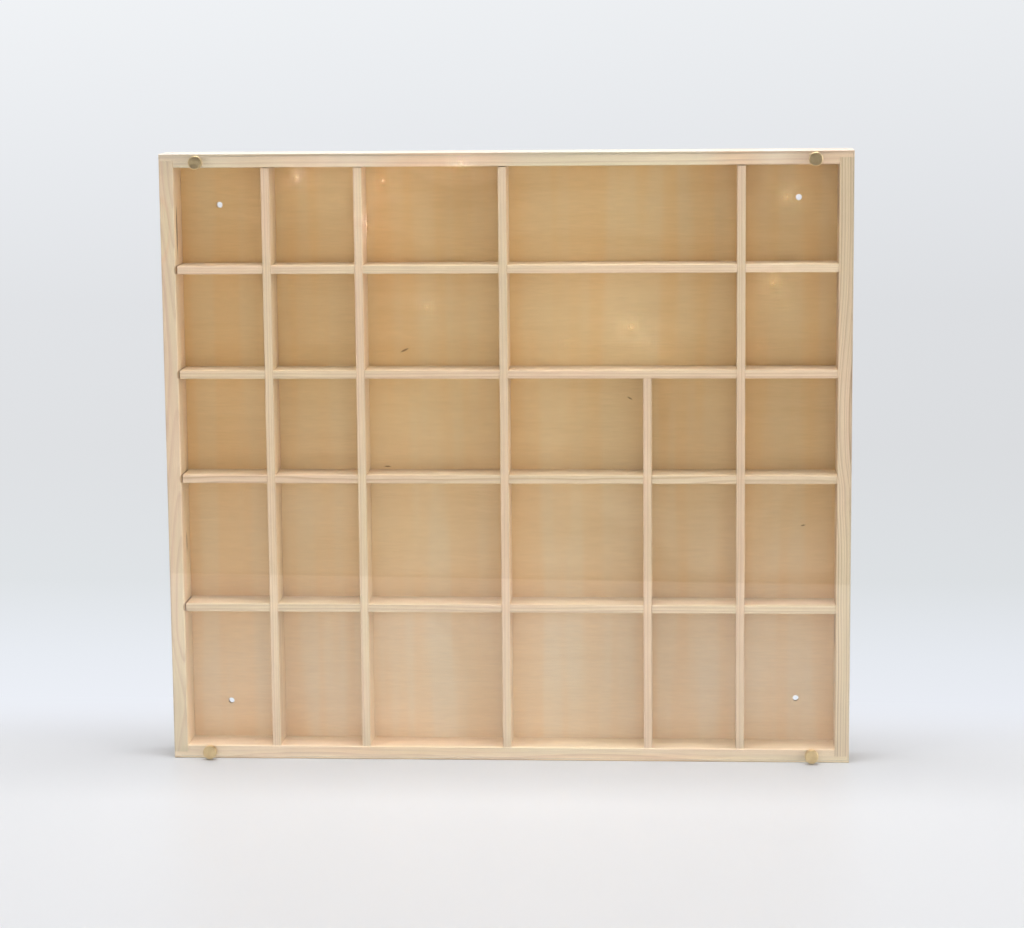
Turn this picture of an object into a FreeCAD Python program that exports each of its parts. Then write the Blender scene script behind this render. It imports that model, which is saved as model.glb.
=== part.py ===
import FreeCAD, Part
import os

# A shallow wooden display box with twenty-eight compartments behind a clear front cover.
# X runs to the right, Y to the back and Z up, in millimetres. The box stands on z = 0.
# The origin is the middle of the base of the whole object, screw heads included.

# Compartments, clear sizes. The box is laid out from these, from the inside out.
column_widths = [63.5, 61.0, 98.5, 98.0, 61.5, 66.5]   # from left to right
row_heights = [71.0, 70.5, 71.0, 90.0, 101.5]          # from top to bottom
clear_depth = 30.0             # from the front of the rails to the back panel

# Frame rails
side_rail_thickness = 10.5
end_rail_thickness = 10.0      # the top and bottom rails
corner_lip = 5.0               # wood left over a side rail's end by the corner rabbet
rail_edge_radius = 0.7         # eased long edges

# Back panel, let into a rabbet round the back of the frame
panel_thickness = 4.0
panel_lap = 5.0                # how far the panel reaches over each rail
panel_clearance = 0.3          # gap all round the panel in its rabbet
wall_hole_diameter = 4.5
left_hole_insets = (38.75, 38.5, 37.0)    # from the frame's outer side, its top and its bottom
right_hole_insets = (38.25, 35.0, 41.5)

# Dividers, halved into each other where they cross
divider_thickness = 6.0
divider_recess = 0.5           # fronts set back from the front of the rails
divider_edge_radius = 0.4
slot_clearance = 0.1           # on each side of a divider in a halving slot
shelf_left_gap = 1.1
shelf_right_gap = 0.1
tall_divider_top_gap = 0.5
short_divider_number = 4       # this divider reaches only up to a shelf
short_divider_shelf = 2        # the shelf that it stands under

# Clear front cover
cover_thickness = 3.0
cover_side_margin = 0.5        # from the frame's outer side to the cover's edge
cover_end_margin = 2.0         # from the frame's top or bottom to the cover's edge
cover_edge_chamfer = 0.25
cover_hole_clearance = 0.2     # round a screw's shank

# Thumb screws with their washers and threaded inserts
screw_inset_x = 27.5           # from the frame's outer side to the screw's axis
screw_offset = 1.0             # from the middle of the rail's thickness, towards the compartments
screw_head_diameter = 10.0
screw_head_thickness = 4.2
screw_head_radius = 0.6        # rounded rim
screw_shank_diameter = 3.0
screw_grip = 6.5               # length of shank inside the insert
screw_tip_chamfer = 0.4
washer_diameter = 7.0
washer_thickness = 0.5
washer_clearance = 0.1         # round the shank
insert_diameter = 4.6
insert_length = 8.0
insert_clearance = 0.05        # round the shank
seat_clearance = 0.02          # round an insert or a pin in its hole

# Pins that hold the back panel
panel_pin_diameter = 1.2
panel_pin_length = 12.0
panel_pin_head_diameter = 2.2
panel_pin_head_thickness = 0.5
panel_pin_pitch = 115.0        # the widest spacing allowed
panel_pin_end_inset = 20.0     # from the panel's corner to the first pin

# Pins that hold the corner joints
corner_pin_diameter = 1.4
corner_pin_length = 22.0
corner_pin_head_diameter = 2.4
corner_pin_head_thickness = 0.6
corner_pin_inset_y = 8.0       # from the frame's front or back to the pin's axis
pin_sink = 0.2                 # heads lie this far below the wood

# Sizes that follow from the ones above
divider_count = len(column_widths) - 1
shelf_count = len(row_heights) - 1
inner_width = sum(column_widths) + divider_count * divider_thickness
inner_height = sum(row_heights) + shelf_count * divider_thickness
width = inner_width + 2 * side_rail_thickness
height = inner_height + 2 * end_rail_thickness
frame_depth = clear_depth + panel_thickness
whole_depth = frame_depth + cover_thickness + washer_thickness + screw_head_thickness

back_y = whole_depth / 2
front_y = back_y - frame_depth
panel_y = back_y - panel_thickness
divider_front_y = front_y + divider_recess
divider_depth = panel_y - divider_front_y
halving_y = divider_front_y + divider_depth / 2
left_x = -width / 2
inner_left_x = left_x + side_rail_thickness
inner_bottom_z = end_rail_thickness
inner_top_z = height - end_rail_thickness

X = FreeCAD.Vector(1, 0, 0)
Y = FreeCAD.Vector(0, 1, 0)
Z = FreeCAD.Vector(0, 0, 1)
same_place = 1e-6              # values closer than this count as equal


def block(x, y, z):
    """A box between the two values given for each axis."""
    corner = FreeCAD.Vector(min(x), min(y), min(z))
    return Part.makeBox(max(x) - min(x), max(y) - min(y), max(z) - min(z), corner)


def rod(diameter, length, start, direction):
    """A round bar from a point, along a direction."""
    return Part.makeCylinder(diameter / 2, length, start, direction)


def end_circle(shape, y):
    """The round edge of a turned shape at one depth y."""
    return [edge for edge in shape.Edges
            if edge.Curve.TypeId == "Part::GeomCircle" and abs(edge.CenterOfMass.y - y) < same_place]


def straight_edges(shape, direction, y):
    """The straight edges that run along a direction at one depth y."""
    found = []
    for edge in shape.Edges:
        run = edge.lastVertex().Point - edge.firstVertex().Point
        along = abs(abs(run.dot(direction)) - run.Length) < same_place
        here = abs(edge.CenterOfMass.y - y) < same_place
        if along and here:
            found.append(edge)
    return found


def eased(shape, radius, direction, y):
    """The shape with its long front or back edges rounded."""
    return shape.makeFillet(radius, straight_edges(shape, direction, y))


def divider_left_x(number):
    """The left face of an upright divider, counted from 1 at the left."""
    return inner_left_x + sum(column_widths[:number]) + (number - 1) * divider_thickness


def shelf_bottom_z(number):
    """The underside of a shelf, counted from 1 at the top."""
    return inner_top_z - sum(row_heights[:number]) - number * divider_thickness


def crosses(divider, shelf):
    """Whether an upright divider passes through a shelf."""
    return divider != short_divider_number or shelf > short_divider_shelf


def mirrored_x(shape):
    """The shape's mirror image on the other side of the middle."""
    return shape.mirror(FreeCAD.Vector(0, 0, 0), X)


def mirrored_z(shape):
    """The shape's mirror image in the other half of the height."""
    return shape.mirror(FreeCAD.Vector(0, 0, height / 2), Z)


def spaced(first, last):
    """Even places from first to last, no further apart than the pin pitch."""
    steps = int((last - first) / panel_pin_pitch) + 1
    return [first + (last - first) * i / steps for i in range(steps + 1)]


def headed_pin(diameter, length, head_diameter, head_thickness, point, direction, clearance=0.0):
    """A pin that runs from its head at a point along a direction, or the hole that takes it."""
    shank = rod(diameter + 2 * clearance, length + clearance, point, direction)
    head = rod(head_diameter + 2 * clearance, head_thickness + clearance, point, direction)
    return shank.fuse(head).removeSplitter()


def panel_pin_places():
    """Where the panel pins go, as x and z, in the middle of the panel's lap on the rails."""
    edge_x = inner_width / 2 + panel_lap / 2
    low_z = inner_bottom_z - panel_lap / 2
    high_z = inner_top_z + panel_lap / 2
    across = spaced(-edge_x + panel_pin_end_inset, edge_x - panel_pin_end_inset)
    up = spaced(low_z + panel_pin_end_inset, high_z - panel_pin_end_inset)
    places = [(x, z) for x in across for z in (low_z, high_z)]
    places += [(x, z) for z in up for x in (-edge_x, edge_x)]
    return places


def panel_pin(place, clearance=0.0):
    """One pin through the back panel into a rail, from behind."""
    point = FreeCAD.Vector(place[0], back_y - pin_sink, place[1])
    return headed_pin(panel_pin_diameter, panel_pin_length, panel_pin_head_diameter,
                      panel_pin_head_thickness, point, -Y, clearance)


def sink(diameter, point, direction, clearance=0.0):
    """The shallow hollow over a pin's head."""
    return rod(diameter + 2 * clearance, pin_sink, point, direction)


def corner_pin_places():
    """Where the corner pins go, as x, y and whether the pin is in the top rail."""
    x = width / 2 - side_rail_thickness / 2
    depths = (front_y + corner_pin_inset_y, back_y - corner_pin_inset_y)
    return [(side * x, y, top) for side in (-1, 1) for y in depths for top in (False, True)]


def corner_pin(place, clearance=0.0):
    """One pin through the lip of the top or bottom rail into a side rail's end."""
    x, y, top = place
    point = FreeCAD.Vector(x, y, height - pin_sink if top else pin_sink)
    return headed_pin(corner_pin_diameter, corner_pin_length, corner_pin_head_diameter,
                      corner_pin_head_thickness, point, -Z if top else Z, clearance)


def corner_pin_sink(place):
    """The shallow hollow over one corner pin's head."""
    x, y, top = place
    point = FreeCAD.Vector(x, y, height if top else 0)
    return sink(corner_pin_head_diameter, point, -Z if top else Z, seat_clearance)


def screw_places():
    """The four screw axes by corner, as x and z."""
    x = width / 2 - screw_inset_x
    low_z = end_rail_thickness / 2 + screw_offset
    high_z = height - low_z
    return {
        "top_left": (-x, high_z),
        "top_right": (x, high_z),
        "bottom_left": (-x, low_z),
        "bottom_right": (x, low_z),
    }


def wall_hole_places():
    """The four holes in the back panel, as x and z: on each side one straight above the other."""
    places = []
    for side, (inset_side, inset_top, inset_bottom) in ((-1, left_hole_insets), (1, right_hole_insets)):
        x = side * (width / 2 - inset_side)
        places += [(x, height - inset_top), (x, inset_bottom)]
    return places


def fastening_cuts():
    """Everything that the pins and inserts take out of the wood."""
    cuts = [panel_pin(place, seat_clearance) for place in panel_pin_places()]
    cuts += [sink(panel_pin_head_diameter, FreeCAD.Vector(x, back_y, z), -Y, seat_clearance)
             for x, z in panel_pin_places()]
    cuts += [corner_pin(place, seat_clearance) for place in corner_pin_places()]
    cuts += [corner_pin_sink(place) for place in corner_pin_places()]
    cuts += [rod(insert_diameter + 2 * seat_clearance, insert_length + seat_clearance,
                 FreeCAD.Vector(x, front_y, z), Y)
             for x, z in screw_places().values()]
    return cuts


def panel_rabbet():
    """The space that the back panel's rabbet takes out of the rails."""
    half = inner_width / 2 + panel_lap
    return block((-half, half), (panel_y, back_y), (inner_bottom_z - panel_lap, inner_top_z + panel_lap))


def side_rail():
    """The left rail: its ends stop under the lips of the top and bottom rails."""
    rail = block((left_x, inner_left_x), (front_y, back_y), (corner_lip, height - corner_lip))
    rail = rail.cut(panel_rabbet())
    long_edges = straight_edges(rail, Z, front_y)
    long_edges += [e for e in straight_edges(rail, Z, back_y)
                   if abs(e.CenterOfMass.x - left_x) < same_place]
    return rail.makeFillet(rail_edge_radius, long_edges)


def end_rail():
    """The bottom rail: full width, with a rabbet across each end for the side rails."""
    rail = block((left_x, -left_x), (front_y, back_y), (0, end_rail_thickness))
    for side in (-1, 1):
        rail = rail.cut(block((side * inner_width / 2, side * width / 2), (front_y, back_y),
                              (corner_lip, end_rail_thickness)))
    rail = rail.cut(panel_rabbet())
    long_edges = [e for e in straight_edges(rail, X, front_y) if e.Length > inner_width - same_place]
    long_edges += [e for e in straight_edges(rail, X, back_y) if e.CenterOfMass.z < same_place]
    return rail.makeFillet(rail_edge_radius, long_edges)


def back_panel():
    """The plywood back, with its four holes for wall screws."""
    half = inner_width / 2 + panel_lap - panel_clearance
    low = inner_bottom_z - panel_lap + panel_clearance
    high = inner_top_z + panel_lap - panel_clearance
    panel = block((-half, half), (panel_y, back_y), (low, high))
    for x, z in wall_hole_places():
        panel = panel.cut(rod(wall_hole_diameter, panel_thickness, FreeCAD.Vector(x, panel_y, z), Y))
    return panel


def shelf(number):
    """A full-width shelf, slotted from its front where the upright dividers pass."""
    bottom = shelf_bottom_z(number)
    rise = (bottom, bottom + divider_thickness)
    run = (inner_left_x + shelf_left_gap, inner_left_x + inner_width - shelf_right_gap)
    board = block(run, (divider_front_y, panel_y), rise)
    board = eased(board, divider_edge_radius, X, divider_front_y)
    for divider in range(1, divider_count + 1):
        if crosses(divider, number):
            left = divider_left_x(divider) - slot_clearance
            right = divider_left_x(divider) + divider_thickness + slot_clearance
            board = board.cut(block((left, right), (divider_front_y, halving_y + slot_clearance), rise))
    return board


def upright(number):
    """An upright divider, slotted from its back where the shelves pass."""
    left = divider_left_x(number)
    run = (left, left + divider_thickness)
    top = inner_top_z - tall_divider_top_gap
    if number == short_divider_number:
        top = shelf_bottom_z(short_divider_shelf)
    board = block(run, (divider_front_y, panel_y), (inner_bottom_z, top))
    board = eased(board, divider_edge_radius, Z, divider_front_y)
    for level in range(1, shelf_count + 1):
        if crosses(number, level):
            bottom = shelf_bottom_z(level)
            rise = (bottom, bottom + divider_thickness + 2 * slot_clearance)
            board = board.cut(block(run, (halving_y - slot_clearance, panel_y), rise))
    return board


def cover():
    """The clear front sheet, with a hole for each screw."""
    half = width / 2 - cover_side_margin
    sheet = block((-half, half), (front_y - cover_thickness, front_y),
                  (cover_end_margin, height - cover_end_margin))
    sheet = sheet.makeChamfer(cover_edge_chamfer, sheet.Edges)
    for x, z in screw_places().values():
        sheet = sheet.cut(rod(screw_shank_diameter + 2 * cover_hole_clearance, cover_thickness,
                              FreeCAD.Vector(x, front_y, z), -Y))
    return sheet


def thumb_screw(place):
    """A turned screw: a round head with a soft rim on a plain-ended shank."""
    x, z = place
    seat = FreeCAD.Vector(x, front_y - cover_thickness - washer_thickness, z)
    head = rod(screw_head_diameter, screw_head_thickness, seat, -Y)
    head = head.makeFillet(screw_head_radius, end_circle(head, seat.y - screw_head_thickness))
    length = washer_thickness + cover_thickness + screw_grip
    shank = rod(screw_shank_diameter, length, seat, Y)
    shank = shank.makeChamfer(screw_tip_chamfer, end_circle(shank, seat.y + length))
    return head.fuse(shank).removeSplitter()


def washer(place):
    """The thin washer between a screw's head and the cover."""
    x, z = place
    seat = FreeCAD.Vector(x, front_y - cover_thickness, z)
    disc = rod(washer_diameter, washer_thickness, seat, -Y)
    return disc.cut(rod(screw_shank_diameter + 2 * washer_clearance, washer_thickness, seat, -Y))


def insert(place):
    """A threaded insert, flush with the front of its rail."""
    x, z = place
    seat = FreeCAD.Vector(x, front_y, z)
    sleeve = rod(insert_diameter, insert_length, seat, Y)
    return sleeve.cut(rod(screw_shank_diameter + 2 * insert_clearance, insert_length, seat, Y))


def write(node, solids):
    """Saves one node, which is one solid or a group of separate ones."""
    shape = solids[0] if len(solids) == 1 else Part.makeCompound(solids)
    shape.exportStep("parts/" + node + ".step")


def without(shape, cuts):
    """The shape with the cuts that reach it taken out."""
    for cutter in cuts:
        if shape.BoundBox.intersect(cutter.BoundBox):
            shape = shape.cut(cutter)
    return shape


os.makedirs("parts", exist_ok=True)
cuts = fastening_cuts()

left_rail = side_rail()
bottom_rail = end_rail()
write("frame_left_rail", [without(left_rail, cuts)])
write("frame_right_rail", [without(mirrored_x(left_rail), cuts)])
write("frame_bottom_rail", [without(bottom_rail, cuts)])
write("frame_top_rail", [without(mirrored_z(bottom_rail), cuts)])
write("back_panel", [without(back_panel(), cuts)])

for number in range(1, shelf_count + 1):
    write("shelf_" + str(number), [shelf(number)])

tall = 0
for number in range(1, divider_count + 1):
    if number == short_divider_number:
        write("short_divider", [upright(number)])
    else:
        tall += 1
        write("tall_divider_" + str(tall), [upright(number)])

write("front_cover", [cover()])
for corner, place in screw_places().items():
    write("thumb_screw_" + corner, [thumb_screw(place)])
    write("washer_" + corner, [washer(place)])

write("threaded_inserts", [insert(place) for place in screw_places().values()])
write("panel_pins", [panel_pin(place) for place in panel_pin_places()])
write("corner_pins", [corner_pin(place) for place in corner_pin_places()])
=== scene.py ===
from math import cos, pi, radians, sin

import bmesh
import bpy
from mathutils import Matrix, Vector


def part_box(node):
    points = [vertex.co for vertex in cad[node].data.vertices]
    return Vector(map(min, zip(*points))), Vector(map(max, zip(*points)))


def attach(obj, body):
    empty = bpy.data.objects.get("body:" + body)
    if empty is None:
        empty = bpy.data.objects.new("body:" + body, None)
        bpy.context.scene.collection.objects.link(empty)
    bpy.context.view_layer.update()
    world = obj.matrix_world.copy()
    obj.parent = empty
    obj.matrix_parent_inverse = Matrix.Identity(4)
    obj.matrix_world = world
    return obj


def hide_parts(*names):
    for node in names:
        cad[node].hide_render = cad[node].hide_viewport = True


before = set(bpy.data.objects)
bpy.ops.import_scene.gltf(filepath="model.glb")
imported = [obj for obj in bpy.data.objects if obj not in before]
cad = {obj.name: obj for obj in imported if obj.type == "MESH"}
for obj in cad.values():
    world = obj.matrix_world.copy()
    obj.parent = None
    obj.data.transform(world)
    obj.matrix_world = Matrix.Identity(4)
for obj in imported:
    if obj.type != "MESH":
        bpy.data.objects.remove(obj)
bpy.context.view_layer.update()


# The frame
# Four rails of planed pine, glued and pinned in rabbeted corners and left bare. Each is
# sawn from its own part of a log, so the growth rings cross every face differently, and
# show as arcs on the ends of the top and bottom rails.

def node(tree, kind, settings, inputs):
    """A shader node with its settings, and its inputs given as values or as other nodes' outputs."""
    made = tree.nodes.new("ShaderNode" + kind)
    for name, value in settings.items():
        setattr(made, name, value)
    for name, value in inputs.items():
        if isinstance(value, bpy.types.NodeSocket):
            tree.links.new(value, made.inputs[name])
        else:
            made.inputs[name].default_value = value
    return made


def maths(tree, operation, *values):
    return node(tree, "Math", {"operation": operation}, dict(enumerate(values))).outputs[0]


def vector_maths(tree, operation, *values):
    made = node(tree, "VectorMath", {"operation": operation}, dict(enumerate(values)))
    return made.outputs["Value" if operation in ("LENGTH", "DOT_PRODUCT") else "Vector"]


def ranged(tree, value, start, end, low, high, smooth=False):
    """The value's place between start and end, as a number from low to high."""
    settings = {"interpolation_type": "SMOOTHSTEP" if smooth else "LINEAR"}
    inputs = {"Value": value, "From Min": start, "From Max": end, "To Min": low, "To Max": high}
    return node(tree, "MapRange", settings, inputs).outputs["Result"]


def blended(tree, amount, first, second, mode="MIX"):
    """Two colours mixed by an amount."""
    made = node(tree, "Mix", {"data_type": "RGBA", "blend_type": mode}, {0: amount, 6: first, 7: second})
    return made.outputs[2]


def noise(tree, vector, detail=2.0, roughness=0.5, output="Fac"):
    inputs = {"Vector": vector, "Scale": 1.0, "Detail": detail, "Roughness": roughness}
    return node(tree, "TexNoise", {}, inputs).outputs[output]


def new_group(name, inputs, outputs):
    """An empty node group with named sockets, as its tree and its two end nodes."""
    tree = bpy.data.node_groups.new(name, "ShaderNodeTree")
    for label, kind, value in inputs:
        socket = tree.interface.new_socket(label, in_out="INPUT", socket_type="NodeSocket" + kind)
        if value is not None:
            socket.default_value = value
    for label, kind in outputs:
        tree.interface.new_socket(label, in_out="OUTPUT", socket_type="NodeSocket" + kind)
    return tree, tree.nodes.new("NodeGroupInput").outputs, tree.nodes.new("NodeGroupOutput").inputs


def use_group(tree, group, inputs):
    return node(tree, "Group", {"node_tree": group}, inputs).outputs


def growth_rings():
    """Rings round the X axis: dark late wood, the fibres along it, and the log's slow changes of tone."""
    tree, given, result = new_group(
        "growth rings",
        [("Vector", "Vector", None), ("Ring Width", "Float", 0.002), ("Wander", "Float", 0.003),
         ("Waves", "Float", 4.0), ("Swell", "Float", 0.0)],
        [("Late Wood", "Float"), ("Fibre", "Float"), ("Tone", "Float")])
    stretch = node(tree, "CombineXYZ", {}, {"X": given["Waves"], "Y": 22.0, "Z": 22.0}).outputs[0]
    slow = noise(tree, vector_maths(tree, "MULTIPLY", given["Vector"], stretch), 1.5, 0.5, "Color")
    drift = vector_maths(tree, "SUBTRACT", slow, (0.5, 0.5, 0.5))
    reach = node(tree, "CombineXYZ", {}, {"Y": given["Wander"], "Z": given["Wander"]}).outputs[0]
    drift = vector_maths(tree, "MULTIPLY", drift, reach)
    bent = vector_maths(tree, "ADD", given["Vector"], drift)
    radius = vector_maths(tree, "LENGTH", vector_maths(tree, "MULTIPLY", bent, (0.0, 1.0, 1.0)))
    along = maths(tree, "DIVIDE", maths(tree, "ADD", radius, given["Swell"]), given["Ring Width"])
    uneven = node(tree, "TexNoise", {"noise_dimensions": "1D"}, {"W": along, "Scale": 0.37, "Detail": 1.0})
    along = maths(tree, "ADD", along, maths(tree, "MULTIPLY", uneven.outputs["Fac"], 1.6))
    within = maths(tree, "FRACT", along)
    rise = ranged(tree, within, 0.35, 0.88, 0.0, 1.0, smooth=True)
    fall = ranged(tree, within, 0.90, 1.00, 1.0, 0.0, smooth=True)
    year = node(tree, "TexWhiteNoise", {"noise_dimensions": "1D"}, {"W": maths(tree, "FLOOR", along)})
    strength = ranged(tree, year.outputs["Value"], 0.0, 1.0, 0.35, 1.0)
    late = maths(tree, "MULTIPLY", maths(tree, "MULTIPLY", rise, fall), strength)
    fibre = noise(tree, vector_maths(tree, "MULTIPLY", bent, (28.0, 1500.0, 1500.0)), 2.0, 0.6)
    tone = noise(tree, vector_maths(tree, "MULTIPLY", given["Vector"], (5.0, 60.0, 60.0)), 2.0, 0.5)
    tree.links.new(late, result["Late Wood"])
    tree.links.new(fibre, result["Fibre"])
    tree.links.new(tone, result["Tone"])
    return tree


def soft_spot():
    """A spot turned about Y: 1 in its core, a share of its half sizes, and fading to 0 at its edge."""
    tree, given, result = new_group(
        "soft spot",
        [("Vector", "Vector", None), ("Place", "Vector", (0.0, 0.0, 0.0)), ("Half Size", "Vector", (1.0, 1.0, 1.0)),
         ("Turn", "Float", 0.0), ("Core", "Float", 0.0)],
        [("Mask", "Float")])
    away = vector_maths(tree, "SUBTRACT", given["Vector"], given["Place"])
    turned = node(tree, "VectorRotate", {"rotation_type": "Y_AXIS"}, {"Vector": away, "Angle": given["Turn"]})
    share = vector_maths(tree, "DIVIDE", turned.outputs[0], given["Half Size"])
    mask = ranged(tree, vector_maths(tree, "LENGTH", share), given["Core"], 1.0, 1.0, 0.0, smooth=True)
    tree.links.new(mask, result["Mask"])
    return tree


RINGS = growth_rings()
SPOT = soft_spot()


def spot(tree, coordinates, place, half_size, turn=0.0, core=0.0):
    inputs = {"Vector": coordinates, "Place": place, "Half Size": half_size, "Turn": radians(turn), "Core": core}
    return use_group(tree, SPOT, inputs)["Mask"]


def tinted_by_stains_and_painted_light(tree, colour, coordinates, stains_and_painted_light):
    """The colour under faint tints, each a place, half sizes, turn in degrees, core and tint. Some are real stains
    and marks, others painted light and shade.
    """
    for place, half_size, turn, core, tint in stains_and_painted_light:
        mask = spot(tree, coordinates, place, half_size, turn, core)
        colour = blended(tree, mask, colour, (*tint, 1.0), "MULTIPLY")
    return colour


def new_material(name):
    """An empty material, as itself, its tree, its Principled shader and its object coordinates."""
    material = bpy.data.materials.new(name)
    material.use_nodes = True
    tree = material.node_tree
    coordinates = tree.nodes.new("ShaderNodeTexCoord").outputs["Object"]
    return material, tree, tree.nodes["Principled BSDF"], coordinates


def pine(name, piece, upright, pith, ring_width, wander, waves, depth, early, late, swells=(), stains_and_painted_light=(),
         roughness=0.54, wax=0.0):
    """Pine for one piece. pith is where the log's centre lies, as depth, across and along from its middle.
    A swell, as place, half sizes and amount, bends the rings aside."""
    material, tree, shader, coordinates = new_material(name)
    low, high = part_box(piece)
    middle = (low + high) / 2
    centred = vector_maths(tree, "SUBTRACT", coordinates, tuple(middle))
    turn = radians(90) if upright else 0.0
    placed = node(tree, "Mapping", {}, {"Vector": centred, "Rotation": (0.0, turn, 0.0),
                                        "Location": (pith[2], pith[0], pith[1])}).outputs[0]
    bend = 0.0
    for place, half_size, amount in swells:
        bend = maths(tree, "MULTIPLY_ADD", spot(tree, coordinates, place, half_size), amount, bend)
    rings = use_group(tree, RINGS, {"Vector": placed, "Ring Width": ring_width, "Wander": wander, "Waves": waves,
                                    "Swell": bend})
    colour = blended(tree, maths(tree, "MULTIPLY", rings["Late Wood"], depth), early, late)
    rosy = ranged(tree, rings["Tone"], 0.35, 0.65, 0.0, 1.0, smooth=True)
    tint = blended(tree, rosy, (0.985, 1.000, 0.950, 1.0), (1.020, 0.974, 0.952, 1.0))
    colour = blended(tree, 1.0, colour, tint, "MULTIPLY")
    fine = ranged(tree, rings["Fibre"], 0.25, 0.75, 0.93, 1.05)
    colour = blended(tree, 1.0, colour, node(tree, "CombineColor", {}, {0: fine, 1: fine, 2: fine}).outputs[0],
                     "MULTIPLY")
    face = node(tree, "Mapping", {"vector_type": "NORMAL"},
                {"Vector": tree.nodes.new("ShaderNodeTexCoord").outputs["Normal"], "Rotation": (0.0, turn, 0.0)})
    end = maths(tree, "ABSOLUTE", node(tree, "SeparateXYZ", {}, {0: face.outputs[0]}).outputs["X"])
    end = ranged(tree, end, 0.6, 0.9, 0.0, 0.45, smooth=True)
    colour = blended(tree, end, colour, (0.55, 0.38, 0.22, 1.0))
    colour = tinted_by_stains_and_painted_light(tree, colour, coordinates, stains_and_painted_light)
    tree.links.new(colour, shader.inputs["Base Color"])
    rough = maths(tree, "ADD", ranged(tree, rings["Late Wood"], 0.0, 1.0, roughness, roughness - 0.10),
                  ranged(tree, rings["Fibre"], 0.0, 1.0, -0.06, 0.06))
    tree.links.new(rough, shader.inputs["Roughness"])
    height = maths(tree, "ADD", maths(tree, "MULTIPLY", rings["Late Wood"], 0.6),
                   maths(tree, "MULTIPLY", rings["Fibre"], 0.5))
    bump = node(tree, "Bump", {}, {"Strength": 0.35, "Distance": 0.00012, "Height": height})
    tree.links.new(bump.outputs[0], shader.inputs["Normal"])
    shader.inputs["IOR"].default_value = 1.45
    shader.inputs["Coat Weight"].default_value = wax
    shader.inputs["Coat Roughness"].default_value = 0.28
    return material


def coat(name, material):
    """The CAD piece with this material in each of its slots."""
    slots = cad[name].data.materials
    slots.clear()
    slots.append(material)


cream = (0.800, 0.650, 0.470, 1.0)
tan = (0.500, 0.345, 0.220, 1.0)
rosy_tan = (0.690, 0.510, 0.365, 1.0)
resin = (0.20, 0.12, 0.08)
greenish = (0.985, 1.020, 0.975)
pinkish = (1.005, 0.935, 0.900)
left_inner_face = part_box("frame_left_rail")[1].x
shelf_middles = [sum(corner.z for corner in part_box("shelf_%d" % number)) / 2 for number in (1, 2, 3, 4)]
# Painted shadows: dark spots on the left rail's inner face behind the shelves' left ends, where the gaps lie in
# shade.
painted_shadows_behind_shelf_ends = [((left_inner_face, 0.0, z), (0.0012, 0.060, 0.0034), 0.0, 0.80, (0.60, 0.52, 0.45))
                     for z in shelf_middles]
coat("frame_left_rail", pine(
    "left rail pine", "frame_left_rail", True, (0.021, 0.004, 0.31), 0.0030, 0.0070, 9.0, 0.75, cream, rosy_tan,
    swells=[
        ((-0.245, 0.0, 0.300), (0.050, 0.100, 0.170), 0.0130),
        ((-0.245, 0.0, 0.040), (0.050, 0.100, 0.060), 0.0060),
    ],
    stains_and_painted_light=[
        ((-0.251, -0.013, 0.391), (0.0100, 0.030, 0.030), -4.0, 0.70, (1.000, 0.915, 0.860)),
        ((-0.251, -0.013, 0.392), (0.0080, 0.030, 0.024), -4.0, 0.78, (0.990, 1.110, 1.130)),
        # Painted light: the left rail's inner face is painted a tenth lighter.
        ((left_inner_face, 0.0, 0.220), (0.0010, 0.060, 0.300), 0.0, 0.80, (1.100, 1.100, 1.100)),
        ((left_inner_face, -0.0035, 0.392), (0.0012, 0.0028, 0.0225), 0.0, 0.45, resin),
        ((left_inner_face, 0.0033, 0.160), (0.0012, 0.0020, 0.0110), 0.0, 0.40, resin),
    ] + painted_shadows_behind_shelf_ends))
coat("frame_right_rail", pine(
    "right rail pine", "frame_right_rail", True, (0.004, 0.045, 0.10), 0.0020, 0.0030, 8.0, 0.95, cream, tan,
    swells=[
        ((0.245, 0.0, 0.255), (0.100, 0.100, 0.105), -0.0065),
        ((0.245, 0.0, 0.205), (0.100, 0.100, 0.022), 0.0012),
    ],
    stains_and_painted_light=[((0.245, 0.0, 0.420), (0.100, 0.100, 0.330), 0.0, 0.10, (0.950, 0.930, 0.915))]))
coat("frame_top_rail", pine(
    "top rail pine", "frame_top_rail", False, (0.012, 0.030, 0.70), 0.0036, 0.0060, 3.0, 0.60,
    (0.885, 0.745, 0.560, 1.0), rosy_tan,
    stains_and_painted_light=[
        # Painted sheen: the top face of the top rail is painted whiter, where the light glances off it.
        ((0.0, 0.0, 0.4485), (9.0, 9.0, 0.0016), 0.0, 0.50, (1.020, 1.070, 1.210)),
        ((-0.162, 0.0, 0.443), (0.060, 0.060, 0.030), 0.0, 0.15, pinkish),
        ((-0.045, 0.0, 0.443), (0.072, 0.060, 0.030), 0.0, 0.25, (1.030, 0.925, 0.840)),
        ((0.080, 0.0, 0.443), (0.110, 0.060, 0.040), 0.0, 0.35, greenish),
        ((0.167, 0.0, 0.443), (0.028, 0.060, 0.030), 0.0, 0.20, (1.010, 0.905, 0.830)),
        ((0.232, 0.0, 0.443), (0.040, 0.060, 0.030), 0.0, 0.25, (0.970, 0.885, 0.825)),
    ], roughness=0.36, wax=0.6))
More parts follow.
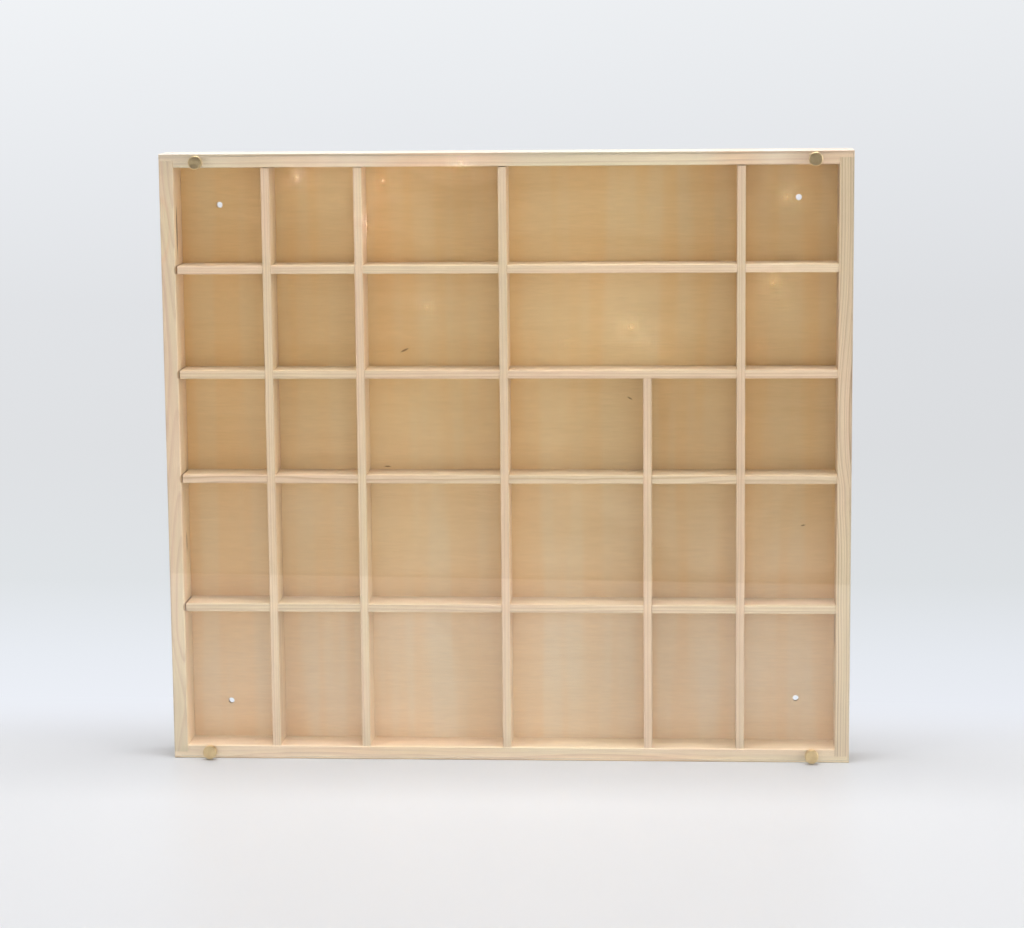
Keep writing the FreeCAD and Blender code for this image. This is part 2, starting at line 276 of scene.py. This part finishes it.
coat("frame_bottom_rail", pine(
    "bottom rail pine", "frame_bottom_rail", False, (0.026, 0.006, 0.22), 0.0032, 0.0120, 6.0, 0.65,
    (0.900, 0.740, 0.540, 1.0), rosy_tan,
    stains_and_painted_light=[
        ((-0.075, 0.0, 0.0070), (0.120, 0.060, 0.0045), 0.0, 0.40, (1.000, 0.945, 0.905)),
        ((0.100, 0.0, 0.0030), (0.110, 0.060, 0.0040), 0.0, 0.40, (1.000, 0.945, 0.905)),
        ((0.190, 0.0, 0.0050), (0.120, 0.060, 0.0200), 0.0, 0.20, (0.940, 0.935, 0.935)),
    ]))


# The back panel
# A sheet of thin plywood let into a rabbet round the back of the frame. Its face veneer
# is peeled round the log, so the figure is broad and faint, with a few dark pin marks.
# Four wall holes go through it, and their sides show the layers.

def plywood():
    material, tree, shader, coordinates = new_material("plywood")
    flat = vector_maths(tree, "MULTIPLY", coordinates, (1.0, 1.0, 0.12))
    peeled = vector_maths(tree, "ADD", flat, (0.4, 0.12, 0.0))
    rings = use_group(tree, RINGS, {"Vector": peeled, "Ring Width": 0.0035, "Wander": 0.011})
    place = node(tree, "SeparateXYZ", {}, {0: coordinates}).outputs
    # Painted light: the sheet is paler and less saturated towards the bottom, as the lower cells are lit more.
    sheet = blended(tree, ranged(tree, place["Z"], 0.05, 0.30, 1.0, 0.0, smooth=True), (0.850, 0.622, 0.328, 1.0),
                    (0.900, 0.706, 0.480, 1.0))
    face = blended(tree, maths(tree, "MULTIPLY", rings["Late Wood"], 0.38), sheet, (0.690, 0.460, 0.210, 1.0))
    cloud = noise(tree, vector_maths(tree, "MULTIPLY", coordinates, (5.0, 5.0, 14.0)), 2.0, 0.5)
    face = blended(tree, ranged(tree, cloud, 0.35, 0.68, 0.0, 0.35), face, (0.790, 0.545, 0.265, 1.0))
    band = noise(tree, vector_maths(tree, "MULTIPLY", coordinates, (52.0, 52.0, 2.4)), 2.0, 0.55)
    face = blended(tree, ranged(tree, band, 0.40, 0.60, 0.0, 1.0, smooth=True),
                   blended(tree, 1.0, face, (0.965, 0.985, 1.000, 1.0), "MULTIPLY"),
                   blended(tree, 1.0, face, (0.975, 0.933, 0.868, 1.0), "MULTIPLY"))
    streak = noise(tree, vector_maths(tree, "MULTIPLY", coordinates, (7.0, 7.0, 120.0)), 3.0, 0.6)
    face = blended(tree, ranged(tree, streak, 0.45, 0.70, 0.0, 0.6), face, (0.950, 0.925, 0.890, 1.0), "MULTIPLY")
    pores = noise(tree, vector_maths(tree, "MULTIPLY", coordinates, (90.0, 900.0, 900.0)), 2.0, 0.6)
    # Painted shade: the sheet darkens from left to right, multiplied into the pores' tone.
    shade = maths(tree, "MULTIPLY", ranged(tree, pores, 0.25, 0.75, 0.95, 1.04),
                  ranged(tree, place["X"], -0.22, 0.24, 1.045, 0.925))
    face = blended(tree, 1.0, face, node(tree, "CombineColor", {}, {0: shade, 1: shade, 2: shade}).outputs[0],
                   "MULTIPLY")
    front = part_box("back_panel")[0].y
    brown = (0.34, 0.28, 0.24)
    pin_marks = [
        ((-0.0764, front, 0.3021), (0.0044, 0.002, 0.0010), 25, 0.3, brown),
        ((0.0892, front, 0.2664), (0.0028, 0.002, 0.0007), -30, 0.3, brown),
        ((0.2164, front, 0.1720), (0.0022, 0.002, 0.0007), 12, 0.3, brown),
        ((-0.0903, front, 0.2156), (0.0032, 0.002, 0.0007), 0, 0.3, brown),
    ]
    # Painted light and shade: the middle and lower right of the sheet are painted lighter, and a level band low on
    # the sheet darker.
    painted_light_and_shade = [
        ((0.0, front, 0.150), (0.240, 0.100, 0.280), 0, 0.25, (1.050, 1.090, 1.145)),
        ((0.0, front, 0.118), (9.0, 0.100, 0.022), 0, 0.50, (0.960, 0.930, 0.880)),
        ((0.215, front, 0.080), (0.110, 0.100, 0.150), 0, 0.35, (1.090, 1.125, 1.200)),
    ]
    face = tinted_by_stains_and_painted_light(tree, face, coordinates, painted_light_and_shade + pin_marks)
    layer = maths(tree, "PINGPONG", node(tree, "SeparateXYZ", {}, {0: coordinates}).outputs["Y"], 0.00067)
    edge = blended(tree, ranged(tree, layer, 0.0002, 0.0005, 0.0, 1.0), (0.60, 0.42, 0.25, 1.0),
                   (0.36, 0.22, 0.11, 1.0))
    normal = node(tree, "SeparateXYZ", {}, {0: tree.nodes.new("ShaderNodeTexCoord").outputs["Normal"]})
    across = ranged(tree, maths(tree, "ABSOLUTE", normal.outputs["Y"]), 0.4, 0.7, 1.0, 0.0)
    colour = blended(tree, across, face, edge)
    tree.links.new(colour, shader.inputs["Base Color"])
    tree.links.new(ranged(tree, pores, 0.0, 1.0, 0.56, 0.72), shader.inputs["Roughness"])
    bump = node(tree, "Bump", {}, {"Strength": 0.3, "Distance": 0.00008, "Height": pores})
    tree.links.new(bump.outputs[0], shader.inputs["Normal"])
    shader.inputs["IOR"].default_value = 1.45
    return material


coat("back_panel", plywood())


# The shelves and dividers
# Thin boards of the same pine, planed finer and eased along their front edges, and
# halved into each other where they cross.

pale = (0.830, 0.658, 0.470, 1.0)
honey = (0.600, 0.410, 0.255, 1.0)
boards = [
    ("shelf_1", False, (0.012, 0.022, 0.05), 0.0021, 0.0030, 4.0, 0.50, 1.02),
    ("shelf_2", False, (0.018, 0.017, 0.42), 0.0026, 0.0050, 4.0, 0.60, 0.98),
    ("shelf_3", False, (0.026, 0.008, 0.83), 0.0024, 0.0110, 7.0, 0.70, 0.96),
    ("shelf_4", False, (0.020, 0.015, 1.31), 0.0025, 0.0070, 4.0, 0.60, 0.95),
    ("tall_divider_1", True, (0.006, 0.030, 0.14), 0.0019, 0.0030, 4.0, 0.6, 1.0),
    ("tall_divider_2", True, (0.010, 0.026, 0.55), 0.0022, 0.0040, 4.0, 0.6, 1.0),
    ("tall_divider_3", True, (0.007, 0.036, 0.96), 0.0017, 0.0030, 4.0, 0.6, 0.97),
    ("tall_divider_4", True, (0.012, 0.022, 1.37), 0.0024, 0.0040, 4.0, 0.6, 0.93),
    ("short_divider", True, (0.009, 0.028, 1.78), 0.0020, 0.0040, 4.0, 0.6, 0.96),
]
for board, upright, pith, ring_width, wander, waves, depth, tone in boards:
    early = tuple(channel * tone for channel in pale[:3]) + (1.0,)
    late = tuple(channel * tone for channel in honey[:3]) + (1.0,)
    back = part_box(board)[1].y
    # Painted light: each shelf's top is painted paler towards the back, against the shade there.
    painted_light_at_back = [] if upright else [((0.0, back, 0.0), (9.0, 0.034, 9.0), 0.0, 0.10, (1.040, 1.120, 1.220))]
    coat(board, pine(board.replace("_", " ") + " pine", board, upright, pith, ring_width, wander, waves, depth,
                     early, late, stains_and_painted_light=painted_light_at_back))


# The pins
# Drawn steel pins hold the corner joints and the back panel. Their heads lie just below
# the wood, finely scratched and dulled in patches.

def scratched():
    """Fine scratches in every direction over a metal, and slow dull patches."""
    tree, given, result = new_group("scratched metal", [("Vector", "Vector", None), ("Fineness", "Float", 2500.0)],
                                    [("Scratches", "Float"), ("Dullness", "Float")])
    fine = vector_maths(tree, "SCALE", given["Vector"])
    tree.links.new(given["Fineness"], fine.node.inputs["Scale"])
    crossed = vector_maths(tree, "MULTIPLY", fine, (1.0, 0.15, 0.3))
    scratches = noise(tree, crossed, 3.0, 0.65)
    dullness = noise(tree, vector_maths(tree, "MULTIPLY", given["Vector"], (420.0, 420.0, 420.0)), 2.0, 0.5)
    tree.links.new(scratches, result["Scratches"])
    tree.links.new(dullness, result["Dullness"])
    return tree


SCRATCHES = scratched()


def plain_metal(name, bright, dull, low_rough, high_rough):
    """A drawn or turned metal with fine scratches and a little tarnish."""
    material, tree, shader, coordinates = new_material(name)
    worn = use_group(tree, SCRATCHES, {"Vector": coordinates})
    colour = blended(tree, ranged(tree, worn["Dullness"], 0.40, 0.75, 0.0, 0.6), bright, dull)
    tree.links.new(colour, shader.inputs["Base Color"])
    tree.links.new(ranged(tree, worn["Scratches"], 0.3, 0.7, low_rough, high_rough), shader.inputs["Roughness"])
    bump = node(tree, "Bump", {}, {"Strength": 0.2, "Distance": 0.00002, "Height": worn["Scratches"]})
    tree.links.new(bump.outputs[0], shader.inputs["Normal"])
    shader.inputs["Metallic"].default_value = 1.0
    return material


pin_steel = plain_metal("pin steel", (0.56, 0.56, 0.57, 1.0), (0.34, 0.33, 0.32, 1.0), 0.28, 0.45)
coat("corner_pins", pin_steel)
coat("panel_pins", pin_steel)


# The threaded inserts
# Turned brass sleeves pressed into the rails, flush with the wood. They are hidden until
# the cover comes off.

coat("threaded_inserts", plain_metal("insert brass", (0.74, 0.56, 0.27, 1.0), (0.48, 0.33, 0.14, 1.0), 0.24, 0.40))


# The cover
# One sheet of clear cast acrylic over the whole front, with sawn edges and four
# holes for the screws. It lies on the wood with a film of air between them.

air_film = 0.00003
edge_chamfer = 0.00025
hole_steps = 40


def cover_sheet():
    """The sheet's outline and holes as one flat face, raised to its thickness and chamfered all round."""
    low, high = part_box("front_cover")
    back = high.y - air_film
    mesh = bmesh.new()
    corners = [mesh.verts.new((x, back, z)) for x, z in
               ((low.x, low.z), (high.x, low.z), (high.x, high.z), (low.x, high.z))]
    edges = [mesh.edges.new((corners[i], corners[i - 1])) for i in range(4)]
    for corner in ("top_left", "top_right", "bottom_left", "bottom_right"):
        first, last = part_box("washer_" + corner)
        place = Matrix.Translation(((first.x + last.x) / 2, back, (first.z + last.z) / 2))
        ring = bmesh.ops.create_circle(mesh, radius=hole_radius, segments=hole_steps,
                                       matrix=place @ Matrix.Rotation(radians(90), 4, "X"))
        edges += list({edge for vertex in ring["verts"] for edge in vertex.link_edges})
    bmesh.ops.triangle_fill(mesh, edges=edges, use_beauty=True)
    raised = bmesh.ops.extrude_face_region(mesh, geom=list(mesh.faces))
    moved = [item for item in raised["geom"] if isinstance(item, bmesh.types.BMVert)]
    bmesh.ops.translate(mesh, verts=moved, vec=(0, low.y - back, 0))
    bmesh.ops.recalc_face_normals(mesh, faces=mesh.faces)
    sharp = [edge for edge in mesh.edges if edge.calc_face_angle(0.0) > radians(60)
             and abs(edge.verts[0].co.y - edge.verts[1].co.y) < 1e-6]
    bmesh.ops.bevel(mesh, geom=sharp, offset=edge_chamfer, offset_type="OFFSET", segments=1, profile=0.5,
                    affect="EDGES", material=-1)
    data = bpy.data.meshes.new("cover_sheet")
    mesh.to_mesh(data)
    mesh.free()
    return bpy.data.objects.new("cover_sheet", data)


def acrylic():
    material, tree, shader, coordinates = new_material("clear acrylic")
    smudge = noise(tree, vector_maths(tree, "MULTIPLY", coordinates, (14.0, 14.0, 9.0)), 4.0, 0.6)
    tree.links.new(ranged(tree, smudge, 0.45, 0.75, 0.002, 0.020), shader.inputs["Roughness"])
    shader.inputs["Base Color"].default_value = (0.985, 0.990, 0.988, 1.0)
    shader.inputs["Transmission Weight"].default_value = 1.0
    shader.inputs["IOR"].default_value = 1.49
    clear = node(tree, "BsdfTransparent", {}, {"Color": (0.96, 0.96, 0.96, 1.0)})
    path = tree.nodes.new("ShaderNodeLightPath")
    through = node(tree, "MixShader", {}, {0: path.outputs["Is Shadow Ray"], 1: shader.outputs[0],
                                           2: clear.outputs[0]})
    tree.links.new(through.outputs[0], tree.nodes["Material Output"].inputs["Surface"])
    return material


def sawn_acrylic():
    """The cut edges and the drilled holes, left with the saw's white haze."""
    material, tree, shader, coordinates = new_material("sawn acrylic")
    haze = noise(tree, vector_maths(tree, "MULTIPLY", coordinates, (900.0, 900.0, 900.0)), 3.0, 0.6)
    tree.links.new(blended(tree, haze, (0.80, 0.84, 0.84, 1.0), (0.66, 0.72, 0.73, 1.0)),
                   shader.inputs["Base Color"])
    tree.links.new(ranged(tree, haze, 0.3, 0.7, 0.35, 0.55), shader.inputs["Roughness"])
    shader.inputs["Alpha"].default_value = 0.22
    return material


hole_radius = 0.0017
cover = cover_sheet()
cover.data.materials.append(acrylic())
cover.data.materials.append(sawn_acrylic())
for face in cover.data.polygons:
    if abs(face.normal.y) < 0.5:
        face.material_index = 1
bpy.context.scene.collection.objects.link(cover)
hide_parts("front_cover")
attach(cover, "cover")


# The washers
# Thin discs of natural nylon that keep the screw heads off the acrylic.

def nylon():
    material, tree, shader, coordinates = new_material("nylon")
    cloud = noise(tree, vector_maths(tree, "MULTIPLY", coordinates, (900.0, 900.0, 900.0)), 2.0, 0.5)
    tree.links.new(blended(tree, cloud, (0.74, 0.72, 0.66, 1.0), (0.62, 0.59, 0.52, 1.0)),
                   shader.inputs["Base Color"])
    tree.links.new(ranged(tree, cloud, 0.3, 0.7, 0.38, 0.55), shader.inputs["Roughness"])
    return material


nylon_material = nylon()
corners = ["top_left", "top_right", "bottom_left", "bottom_right"]
for corner in corners:
    coat("washer_" + corner, nylon_material)


# The thumb screws
# Turned brass screws with a plain round head, a soft rim and a flat face that still
# shows the rings of the tool. The shank is threaded all the way to the washer.

def turned_brass(corner):
    """Brass for one screw. The tool's rings run round the screw's own axis."""
    material, tree, shader, coordinates = new_material("turned brass " + corner.replace("_", " "))
    low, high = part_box("thumb_screw_" + corner)
    axis = Vector(((low.x + high.x) / 2, 0.0, (low.z + high.z) / 2))
    outward = vector_maths(tree, "SUBTRACT", coordinates, tuple(axis))
    radius = vector_maths(tree, "LENGTH", vector_maths(tree, "MULTIPLY", outward, (1.0, 0.0, 1.0)))
    rings = node(tree, "TexNoise", {"noise_dimensions": "1D"}, {"W": maths(tree, "MULTIPLY", radius, 9000.0),
                                                                "Scale": 1.0, "Detail": 2.0}).outputs["Fac"]
    worn = use_group(tree, SCRATCHES, {"Vector": coordinates})
    colour = blended(tree, ranged(tree, worn["Dullness"], 0.35, 0.75, 0.0, 0.5), (0.86, 0.66, 0.37, 1.0),
                     (0.72, 0.53, 0.28, 1.0))
    tree.links.new(colour, shader.inputs["Base Color"])
    tree.links.new(ranged(tree, worn["Scratches"], 0.3, 0.7, 0.29, 0.35), shader.inputs["Roughness"])
    bump = node(tree, "Bump", {}, {"Strength": 0.12, "Distance": 0.00003, "Height": rings})
    tree.links.new(bump.outputs[0], shader.inputs["Normal"])
    shader.inputs["Metallic"].default_value = 1.0
    shader.inputs["Anisotropic"].default_value = 0.85
    shader.inputs["Anisotropic Rotation"].default_value = 0.25
    tangent = node(tree, "Tangent", {"direction_type": "RADIAL", "axis": "Y"}, {})
    tree.links.new(tangent.outputs[0], shader.inputs["Tangent"])
    return material


screw_steps = 48
head_radius = 0.0050
head_thickness = 0.0042
rim_radius = 0.0006
rim_points = 6
face_dish = 0.0001
shank_radius = 0.0015
thread_root_radius = 0.00122
thread_pitch = 0.0005
neck_length = 0.0005
tip_length = 0.0006


def revolved(mesh, outline):
    """Spins an outline of (radius, depth) points round the Y axis into a closed solid."""
    points = [mesh.verts.new((radius, depth, 0.0)) for radius, depth in outline]
    edges = [mesh.edges.new(pair) for pair in zip(points, points[1:])]
    bmesh.ops.spin(mesh, geom=points + edges, cent=(0, 0, 0), axis=(0, 1, 0), angle=2 * pi,
                   steps=screw_steps, use_merge=True)
    bmesh.ops.remove_doubles(mesh, verts=mesh.verts, dist=1e-7)


def head_outline():
    """The head from its face's middle, over the soft rim, to the underside."""
    outline = [(0.0, -head_thickness + face_dish), (head_radius - 2 * rim_radius, -head_thickness)]
    middle = (head_radius - rim_radius, -head_thickness + rim_radius)
    for step in range(rim_points + 1):
        angle = pi / 2 * step / rim_points
        outline.append((middle[0] + rim_radius * sin(angle), middle[1] - rim_radius * cos(angle)))
    return outline + [(head_radius, -0.0002), (head_radius - 0.0002, 0.0), (thread_root_radius, 0.0)]


def thumb_screw(corner):
    """The head and neck turned in one outline, with the thread wound on below."""
    low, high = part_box("thumb_screw_" + corner)
    seat = low.y + head_thickness
    length = high.y - seat
    mesh = bmesh.new()
    revolved(mesh, head_outline() + [(thread_root_radius, length - tip_length),
                                     (thread_root_radius - tip_length / 2, length - 0.00001), (0.0, length)])
    ridge = [(thread_root_radius - 0.00004, 0.0), (shank_radius, thread_pitch * 0.42),
             (shank_radius, thread_pitch * 0.58), (thread_root_radius - 0.00004, thread_pitch * 0.98)]
    turns = int((length - neck_length - tip_length - thread_pitch) / thread_pitch)
    points = [mesh.verts.new((radius, neck_length + depth, 0.0)) for radius, depth in ridge]
    start = mesh.faces.new(points)
    spun = bmesh.ops.spin(mesh, geom=[start], cent=(0, 0, 0), axis=(0, 1, 0), angle=2 * pi * turns,
                          dvec=(0, thread_pitch / screw_steps, 0), steps=screw_steps * turns)
    bmesh.ops.recalc_face_normals(mesh, faces=mesh.faces)
    bmesh.ops.translate(mesh, verts=mesh.verts, vec=((low.x + high.x) / 2, seat, (low.z + high.z) / 2))
    data = bpy.data.meshes.new("screw_" + corner)
    mesh.to_mesh(data)
    mesh.free()
    for face in data.polygons:
        face.use_smooth = True
    data.set_sharp_from_angle(angle=radians(35))
    data.materials.append(turned_brass(corner))
    piece = bpy.data.objects.new("screw_" + corner, data)
    bpy.context.scene.collection.objects.link(piece)
    return piece


for corner in corners:
    screw = thumb_screw(corner)
    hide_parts("thumb_screw_" + corner)
    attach(screw, "screw_" + corner)


# The table and the studio
# A pale table that sweeps up into a pale wall behind the box. The room in front of the
# table is unlit, which only the acrylic and the brass show.

def swept_floor():
    """The table's surface and the wall behind it as one sheet with a round bend."""
    front, bend_start, bend_radius, wall_top, half_width = -4.0, 1.1, 0.9, 4.0, 5.0
    mesh = bmesh.new()
    line = [(front, 0.0), (bend_start, 0.0)]
    for step in range(1, 17):
        angle = pi / 2 * step / 16
        line.append((bend_start + bend_radius * sin(angle), bend_radius * (1 - cos(angle))))
    line.append((bend_start + bend_radius, wall_top))
    points = [mesh.verts.new((-half_width, y, z)) for y, z in line]
    edges = [mesh.edges.new(pair) for pair in zip(points, points[1:])]
    out = bmesh.ops.extrude_edge_only(mesh, edges=edges)
    moved = [v for v in out["geom"] if isinstance(v, bmesh.types.BMVert)]
    bmesh.ops.translate(mesh, verts=moved, vec=(2 * half_width, 0, 0))
    bmesh.ops.recalc_face_normals(mesh, faces=mesh.faces)
    data = bpy.data.meshes.new("table")
    mesh.to_mesh(data)
    mesh.free()
    for face in data.polygons:
        face.use_smooth = True
    return bpy.data.objects.new("table", data)


def seen_directly(tree):
    """1 for what the eye sees straight or in a mirror or through clear sheet, 0 for light on a dull surface."""
    path = tree.nodes.new("ShaderNodeLightPath").outputs
    eye = maths(tree, "MAXIMUM", maths(tree, "MAXIMUM", path["Is Camera Ray"], path["Is Glossy Ray"]),
                path["Is Transmission Ray"])
    return maths(tree, "MULTIPLY", eye, maths(tree, "LESS_THAN", path["Diffuse Depth"], 0.5))


def table_top():
    """Pale grey near the box. Further back its brightness is set outright, for the eye and for reflections."""
    material, tree, shader, coordinates = new_material("pale table")
    shader.inputs["Base Color"].default_value = (0.745, 0.750, 0.768, 1.0)
    shader.inputs["Roughness"].default_value = 0.45
    place = node(tree, "SeparateXYZ", {}, {0: coordinates}).outputs
    run = maths(tree, "ADD", place["Y"], place["Z"])
    shade = node(tree, "ValToRGB", {}, {"Fac": ranged(tree, run, 0.0, 2.6, 0.0, 1.0)})
    stops = [(0.04, (0.840, 0.865, 0.925)), (0.13, (0.800, 0.830, 0.880)), (0.26, (0.730, 0.757, 0.780)),
             (0.53, (0.720, 0.735, 0.757)), (0.70, (0.735, 0.750, 0.775)), (0.83, (0.785, 0.803, 0.832)),
             (1.00, (0.860, 0.880, 0.903))]
    for at, colour in stops[1:-1]:
        shade.color_ramp.elements.new(at)
    for element, (at, colour) in zip(shade.color_ramp.elements, stops):
        element.position = at
        element.color = (*colour, 1.0)
    lit = ranged(tree, place["X"], -1.0, 1.0, 1.035, 0.965)
    glow = node(tree, "Emission", {}, {"Color": shade.outputs["Color"], "Strength": lit})
    far = ranged(tree, place["Y"], -0.01, 0.18, 0.0, 1.0, smooth=True)
    mix = node(tree, "MixShader", {}, {0: maths(tree, "MULTIPLY", seen_directly(tree), far), 1: shader.outputs[0],
                                       2: glow.outputs[0]})
    tree.links.new(mix.outputs[0], tree.nodes["Material Output"].inputs["Surface"])
    return material


table = swept_floor()
table.data.materials.append(table_top())
bpy.context.scene.collection.objects.link(table)


def dark_room():
    """A dark sheet at the table's front edge, painted shade standing in for the unlit room, that only reflections can
    see.
    """
    mesh = bmesh.new()
    bmesh.ops.create_grid(mesh, x_segments=1, y_segments=1, size=1.0)
    bmesh.ops.rotate(mesh, verts=mesh.verts, cent=(0, 0, 0), matrix=Matrix.Rotation(radians(90), 3, "X"))
    bmesh.ops.scale(mesh, verts=mesh.verts, vec=(0.42, 1.0, 0.50))
    bmesh.ops.rotate(mesh, verts=mesh.verts, cent=(0, 0, 0), matrix=Matrix.Rotation(radians(4), 3, "Z"))
    bmesh.ops.translate(mesh, verts=mesh.verts, vec=(-0.05, -0.715, 0.50))
    data = bpy.data.meshes.new("dark_room")
    mesh.to_mesh(data)
    mesh.free()
    panel = bpy.data.objects.new("dark_room", data)
    material, tree, shader, coordinates = new_material("unlit room")
    shader.inputs["Base Color"].default_value = (0.02, 0.02, 0.022, 1.0)
    shader.inputs["Roughness"].default_value = 1.0
    data.materials.append(material)
    panel.visible_camera = False
    panel.visible_diffuse = False
    panel.visible_shadow = False
    return panel


room = dark_room()
bpy.context.scene.collection.objects.link(room)


def softbox(name, place, aim, width, height, watts):
    data = bpy.data.lights.new(name, "AREA")
    data.shape = "RECTANGLE"
    data.size = width
    data.size_y = height
    data.energy = watts
    data.cycles.use_multiple_importance_sampling = False
    lamp = bpy.data.objects.new(name, data)
    lamp.location = place
    lamp.rotation_euler = (Vector(aim) - Vector(place)).to_track_quat("-Z", "Y").to_euler()
    lamp.visible_camera = False
    bpy.context.scene.collection.objects.link(lamp)
    return lamp


left_watts = 2.8
right_watts = 11.9
top_watts = 55.0
front_watts = 3.8
strip_watts = 1.1
low_watts = 0.6
room_light = 0.0
middle = (0.0, 0.0, 0.22)
softbox("left softbox", (-1.7, -1.6, 0.85), middle, 1.0, 1.0, left_watts)
softbox("right softbox", (2.2, -0.9, 0.60), middle, 1.0, 1.0, right_watts)
softbox("top softbox", (0.0, -0.15, 2.2), (0.0, -0.15, 0.0), 1.8, 1.2, top_watts)
front_lamp = softbox("front softbox", (0.0, -2.4, 0.22), middle, 3.0, 0.4, front_watts)
front_lamp.visible_glossy = False
softbox("front strip", (0.0, -2.4, 0.33), middle, 3.0, 0.12, strip_watts)
softbox("low softbox", (0.0, -0.45, 0.01), (0.0, -0.45, 1.0), 1.2, 0.7, low_watts)

world = bpy.data.worlds.new("studio")
bpy.context.scene.world = world
world.use_nodes = True
sky = world.node_tree
sky.nodes["Background"].inputs["Color"].default_value = (0.93, 0.95, 1.0, 1.0)
sky.links.new(ranged(sky, seen_directly(sky), 0.0, 1.0, room_light, 0.84), sky.nodes["Background"].inputs["Strength"])

scene = bpy.context.scene
scene.view_settings.view_transform = "Standard"


# The camera
# It stands two metres in front of the box, to the right and above, and looks down at it.

camera_data = bpy.data.cameras.new("camera")
camera_data.sensor_width = 36.0
camera_data.lens = 99.7
camera = bpy.data.objects.new("camera", camera_data)
camera_place = Vector((0.1378, -2.0505, 0.5357))
turned_left = 0.0656
tipped_down = 0.1525
rolled = -0.0089
camera.matrix_world = (Matrix.Translation(camera_place) @ Matrix.Rotation(turned_left, 4, "Z")
                       @ Matrix.Rotation(pi / 2 - tipped_down, 4, "X") @ Matrix.Rotation(rolled, 4, "Z"))
scene.collection.objects.link(camera)
scene.camera = camera
